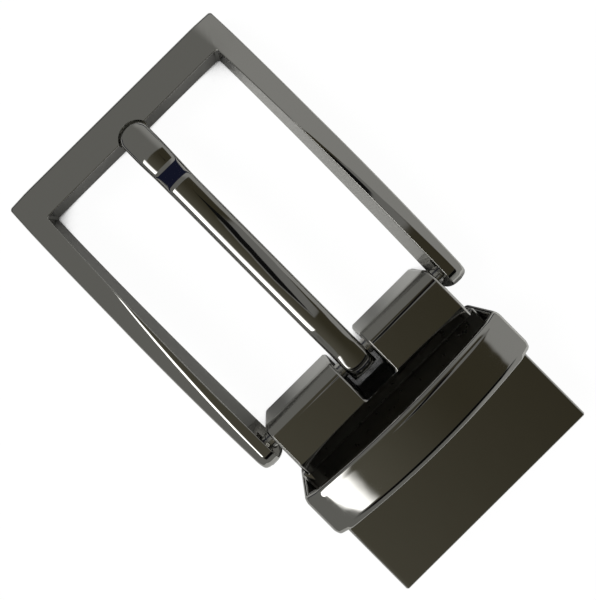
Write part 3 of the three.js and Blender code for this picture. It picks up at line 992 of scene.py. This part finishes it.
# %% Rivets
rivet_profile = [(0.05, 0.1), (0.5, 0.06), (0.6, 0.0), (RIVET_HEAD - 0.1, 0.0),
                 (RIVET_HEAD, 0.07), (RIVET_RADIUS, RIVET_HEAD_DEPTH),
                 (RIVET_RADIUS, FLOOR_TOP - 0.15), (RIVET_RADIUS - 0.15, FLOOR_TOP),
                 (0.05, FLOOR_TOP)]
rivets = {}
for side, node in ((-1, "keeper_rivet_left"), (1, "keeper_rivet_right")):
    rivet = turned(node + "_turned", rivet_profile, side * rivet_x, rivet_y, rivet_steel)
    rivets[node] = finish_shading(rivet, sharp=30)
    report(rivet)

# %% [markdown]
# ## The flap and its pin
# The flap is a strip of sheet steel curled round a pin at the tail, with a row of small
# pressed teeth that bite the strap. The strip is one side view carried across. The teeth
# repeat at one pitch, so a second tree puts one pyramid on each point of a line.

# %% Flap
flap_low, flap_high = node_box("clamp_flap")
BARREL_RADIUS, FLAP_BOTTOM, SHEET = 1.2, 0.2, 1.0
FLAP_EDGE = 0.12


def flap_side():
    """Side view: the sheet, and its curl round the pin."""
    sheet_top = FLAP_BOTTOM + SHEET
    meet = flap_hinge_z - sheet_top
    start = math.degrees(math.asin(-meet / BARREL_RADIUS))
    end = math.degrees(math.asin((FLAP_BOTTOM - flap_hinge_z) / BARREL_RADIUS))
    curl = arc(flap_hinge_y, flap_hinge_z, BARREL_RADIUS, start, 360 + end - 0.5, 40)
    return [(flap_high.y, FLAP_BOTTOM), (flap_high.y, sheet_top), *curl]


flap = crosswise("flap_brushed", flap_side(), flap_low.x, flap_high.x, flap_steel)
cut(flap, flap_pin_drill())
soften(flap, FLAP_EDGE, sharp=45)
report(flap)

# %% [markdown]
# Each tooth is a four-sided cone with a blunt point, and its root is sunk in the sheet.
# The tree sets out the row from its middle by number and pitch.


# %% Teeth tree
TOOTH_ROW, TOOTH_PITCH, TOOTH_TIP = 3.0, 3.2, 2.4
TOOTH_POINT, TOOTH_ROOT, TOOTH_SINK = 0.12, 0.75, 0.3


def teeth_tree(material):
    tree, given, made = new_tree("flap_teeth", [
        ("Count", "Int"), ("Pitch", "Float"), ("Root", "Float"), ("Height", "Float"),
        ("Middle", "Vector"),
    ])
    size = {o.name: o for o in given.outputs}
    steps = times(tree, maths(tree, "SUBTRACT", size["Count"], 1.0), -0.5)
    left = add(tree, "ShaderNodeCombineXYZ", X=times(tree, steps, size["Pitch"]))
    first = add(tree, "ShaderNodeVectorMath", {"operation": "ADD"}, _0=left.outputs[0],
                _1=size["Middle"])
    pitch = add(tree, "ShaderNodeCombineXYZ", X=size["Pitch"])
    row = add(tree, "GeometryNodeMeshLine", Count=size["Count"],
              Start_Location=first.outputs[0], Offset=pitch.outputs[0])
    tooth = add(tree, "GeometryNodeMeshCone", Vertices=4, Radius_Top=TOOTH_POINT * MM,
                Radius_Bottom=size["Root"], Depth=size["Height"])
    teeth = add(tree, "GeometryNodeInstanceOnPoints", Points=row.outputs[0],
                Instance=tooth.outputs[0])
    both = add(tree, "GeometryNodeJoinGeometry")
    tree.links.new(teeth.outputs[0], both.inputs[0])
    tree.links.new(size["Geometry"], both.inputs[0])
    return end_tree(tree, made, both.outputs[0], material)


tooth_count = int((flap_high.x - flap_low.x - TOOTH_PITCH) / TOOTH_PITCH)
tooth_foot = FLAP_BOTTOM + SHEET - TOOTH_SINK
grow(flap, teeth_tree(flap_steel), {
    "Count": tooth_count, "Pitch": TOOTH_PITCH * MM, "Root": TOOTH_ROOT * MM,
    "Height": (TOOTH_TIP - tooth_foot) * MM,
    "Middle": to_frame(0, flap_hinge_y + TOOTH_ROW, tooth_foot),
}, flap_steel)
finish_shading(flap, sharp=40)
print(tooth_count, "teeth")
report(flap)

# %% [markdown]
# The pin that the flap turns on is a short length of the same ground bar as the axle.

# %% Flap pin
pin_low, pin_high = node_box("flap_pin")
flap_pin = round_bar("flap_pin_ground", PIN_RADIUS, flap_hinge_y, flap_hinge_z, pin_low.x,
                     pin_high.x, pin_steel, sides=32, ends=0.15)
finish_shading(flap_pin, sharp=30)
report(flap_pin)

# %% [markdown]
# ## Pieces and bodies
# Each piece moves with one body of the imported model and stands for one imported node, and
# the list gives it a slot name for its finish.

# %% Ride and replace
for piece in (buckle_frame, prong, axle):
    finish_shading(piece)
pieces = [
    (buckle_frame, "frame", "buckle_frame", "frame_plating"),
    (axle, "frame", "hinge_axle", "pin_steel"),
    (prong, "prong", "prong", "prong_plating"),
    (case, "clamp", "clamp_case", "case_plating"),
    (keeper, "clamp", "keeper_loop", "keeper_plating"),
    *[(rivet, "clamp", node, "rivet_steel") for node, rivet in rivets.items()],
    (flap, "flap", "clamp_flap", "flap_steel"),
    (flap_pin, "clamp", "flap_pin", "pin_steel"),
]
for piece, body, node, slot in pieces:
    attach(piece, body)
    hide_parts(node)
print(len(pieces), "pieces ride on their bodies")

# %% [markdown]
# ## The studio
# Polished metal looks like whatever surrounds it. A dark olive card hangs over the buckle
# and gives its level faces their tone, darker to the right. The camera and the arm that
# holds it are mirrored in front of the card. A round bright panel stands to the left, the
# walls are a soft grey that is lighter to the right, and there is a black band behind and
# a navy one far ahead. A tilt of ten degrees in the metal is enough to look past the
# card's edge, which is why each facet has one clear tone.
#
# The room is a function of direction alone, so it is drawn in the world's shader. Each
# direction becomes a place on a ceiling one unit up, and the tones are laid over one
# another there. Rays that light dull surfaces see an even grey, and the camera white.

# %% Room
CARD_LEFT, CARD_RIGHT = "#6a675b", "#474335"
CARD_SIDE, CARD_AHEAD = (-0.60, 0.65), (-0.75, 0.36)
CARD_TURN = (-0.6, 0.3)        # from the left tone to the right one
ROOM, ROOM_RIGHT = "#898986", "#b2b2b0"
ROOM_TURN = (0.3, 0.7)
ARM, CAMERA_BODY = "#8d8d8b", "#181819"
ARM_ALONG, ARM_ACROSS, ARM_AHEAD = (-0.14, 1.2), (-0.08, 0.5), (-0.2, 0.16)
BODY_ALONG, BODY_ACROSS = (-0.1, 0.36), (-0.03, 0.16)
PANEL = 4.0                    # brightness of the round panel
PANEL_CENTRE = (-0.60, -0.03)
PANEL_FALL = (0.25, 0.225)     # squared radius at which the panel ends
PANEL_RIGHT = (-0.48, -0.64)   # its straight right edge
NAVY, NAVY_AHEAD = "#20243a", (2.0, 9.0)
BLACK, BLACK_AHEAD, BLACK_SIDE = "#0e0e0e", (-1.5, -0.75), (-0.8, 0.8)
EVEN_GREY = "#a5a5a5"


def edge(tree, value, start, end):
    """0 before start and 1 past end; start may also be the larger."""
    node = add(tree, "ShaderNodeMapRange", {"interpolation_type": "SMOOTHSTEP"}, Value=value,
               From_Min=start, From_Max=end)
    return node.outputs[0]


def within(tree, value, low, high, soft=0.02):
    rising = edge(tree, value, low - soft, low + soft)
    falling = edge(tree, value, high + soft, high - soft)
    return times(tree, rising, falling)


def paint(tree, amount, under, over):
    """Lays a colour over another by an amount."""
    return add(tree, "ShaderNodeMixRGB", Fac=amount, Color1=under, Color2=over).outputs[0]


world = bpy.data.worlds.new("studio")
world.use_nodes = True
bpy.context.scene.world = world
room = world.node_tree
room.nodes.clear()
toward = add(room, "ShaderNodeSeparateXYZ",
             Vector=add(room, "ShaderNodeTexCoord").outputs["Generated"])
up = maths(room, "MAXIMUM", toward.outputs[2], 0.02)
side = maths(room, "DIVIDE", toward.outputs[0], up)
ahead = maths(room, "DIVIDE", toward.outputs[1], up)
along = times(room, maths(room, "ADD", side, ahead), math.sqrt(0.5))
aslant = times(room, maths(room, "SUBTRACT", side, ahead), math.sqrt(0.5))

card = times(room, within(room, side, *CARD_SIDE), within(room, ahead, *CARD_AHEAD))
arm = times(room, within(room, along, *ARM_ALONG), within(room, aslant, *ARM_ACROSS))
arm = times(room, arm, within(room, ahead, *ARM_AHEAD))
camera_body = times(room, within(room, along, *BODY_ALONG, 0.01),
                    within(room, aslant, *BODY_ACROSS, 0.01))
panel_side = maths(room, "POWER", maths(room, "SUBTRACT", side, PANEL_CENTRE[0]), 2.0)
panel_ahead = maths(room, "POWER", maths(room, "SUBTRACT", ahead, PANEL_CENTRE[1]), 2.0)
panel = edge(room, maths(room, "ADD", panel_side, panel_ahead), *PANEL_FALL)
panel = times(room, panel, edge(room, side, *PANEL_RIGHT))
navy = within(room, ahead, *NAVY_AHEAD, 0.2)
behind = times(room, within(room, ahead, *BLACK_AHEAD, 0.04),
               within(room, side, *BLACK_SIDE, 0.1))
shade = paint(room, edge(room, side, *CARD_TURN), linear(CARD_LEFT), linear(CARD_RIGHT))
ray = add(room, "ShaderNodeLightPath")

tone = linear(ROOM)
for amount, over in (
    (edge(room, side, *ROOM_TURN), linear(ROOM_RIGHT)),
    (navy, linear(NAVY)),
    (behind, linear(BLACK)),
    (card, shade),
    (arm, linear(ARM)),
    (camera_body, linear(CAMERA_BODY)),
    (panel, (PANEL, PANEL, PANEL, 1)),
    (ray.outputs["Is Diffuse Ray"], linear(EVEN_GREY)),
    (ray.outputs["Is Camera Ray"], linear("#ffffff")),
):
    tone = paint(room, amount, tone, over)
add(room, "ShaderNodeOutputWorld",
    Surface=add(room, "ShaderNodeBackground", Color=tone).outputs[0])
print("the room is drawn with", len(room.nodes), "nodes")

# %% [markdown]
# The floor is a light table: a pale sheet that glows evenly towards the camera, so that
# only a trace of each shadow shows on it. In narrow gaps, which ambient occlusion finds,
# it is painted nearly black as shade, and its glow fades there. The lamp stands high on the
# crossbar's left, and is hidden from reflections so that the metal sees only the room. Its
# shadows still dim what the window's walls mirror from the table, which is why those walls
# differ in tone.

# %% Floor and light
FLOOR_HALF = 600
FLOOR_LEVEL = -0.01
# the last tone is painted shade for the table in narrow gaps
SHEET_TONES, PAINTED_GAP_SHADE = ("#e2e2e0", "#dededc"), "#2c2c2c"
GAP_REACH = 7                  # mm within which metal closes the table in
OPEN_START, OPEN_END = 0.18, 0.4       # open share at which the table turns from dark to lit
GLOW = 0.93                    # share of the table's white that does not depend on the lamp
GLOW_STRENGTH = 1.04
LAMP_STRENGTH, LAMP_WIDTH = 2.4, math.radians(30)
LAMP_DIRECTION = Vector((0.62, -0.45, -0.65))


def light_table():
    material, tree = new_material("white_acrylic_table")
    place = add(tree, "ShaderNodeTexCoord").outputs["Object"]
    grain = add(tree, "ShaderNodeTexNoise", Vector=place, Scale=per_metre(2.0), Detail=3.0)
    open_sky = add(tree, "ShaderNodeAmbientOcclusion", {"samples": 16}, Distance=GAP_REACH * MM)
    lit = edge(tree, open_sky.outputs["AO"], OPEN_START, OPEN_END)
    shade = paint(tree, grain.outputs[0], *[linear(tone) for tone in SHEET_TONES])
    # painted shade: the sheet turns near black where ambient occlusion finds a gap, and its glow
    # fades there
    shade = paint(tree, lit, linear(PAINTED_GAP_SHADE), shade)
    sheet = add(tree, "ShaderNodeBsdfDiffuse", Color=shade, Roughness=0.5)
    glow = add(tree, "ShaderNodeEmission", Color=linear("#ffffff"), Strength=GLOW_STRENGTH)
    seen = add(tree, "ShaderNodeLightPath").outputs["Is Camera Ray"]
    amount = times(tree, times(tree, seen, GLOW), lit)
    table = add(tree, "ShaderNodeMixShader", _0=amount, _1=sheet.outputs[0], _2=glow.outputs[0])
    add(tree, "ShaderNodeOutputMaterial", Surface=table.outputs[0])
    return material


floor_mesh = bpy.data.meshes.new("floor")
floor_mesh.from_pydata([to_frame(x * FLOOR_HALF, y * FLOOR_HALF, FLOOR_LEVEL)
                        for x, y in ((-1, -1), (1, -1), (1, 1), (-1, 1))], [], [(0, 1, 2, 3)])
floor_mesh.materials.append(light_table())
floor = bpy.data.objects.new("floor", floor_mesh)
bpy.context.scene.collection.objects.link(floor)
floor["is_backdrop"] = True

lamp = bpy.data.objects.new("lamp", bpy.data.lights.new("lamp", "SUN"))
lamp.data.energy = LAMP_STRENGTH
lamp.data.angle = LAMP_WIDTH
lamp.rotation_euler = LAMP_DIRECTION.to_track_quat("-Z", "Y").to_euler()
lamp.visible_glossy = False
bpy.context.scene.collection.objects.link(lamp)
print(f"the table is {2 * FLOOR_HALF} mm wide and the lamp's strength is {lamp.data.energy:.1f}")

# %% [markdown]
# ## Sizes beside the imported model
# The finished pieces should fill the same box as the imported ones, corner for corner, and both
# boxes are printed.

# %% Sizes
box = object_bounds()
for corner, cad_corner in zip(box, cad_box):
    print([round(v / MM, 2) for v in corner], "packed", [round(v / MM, 2) for v in cad_corner])
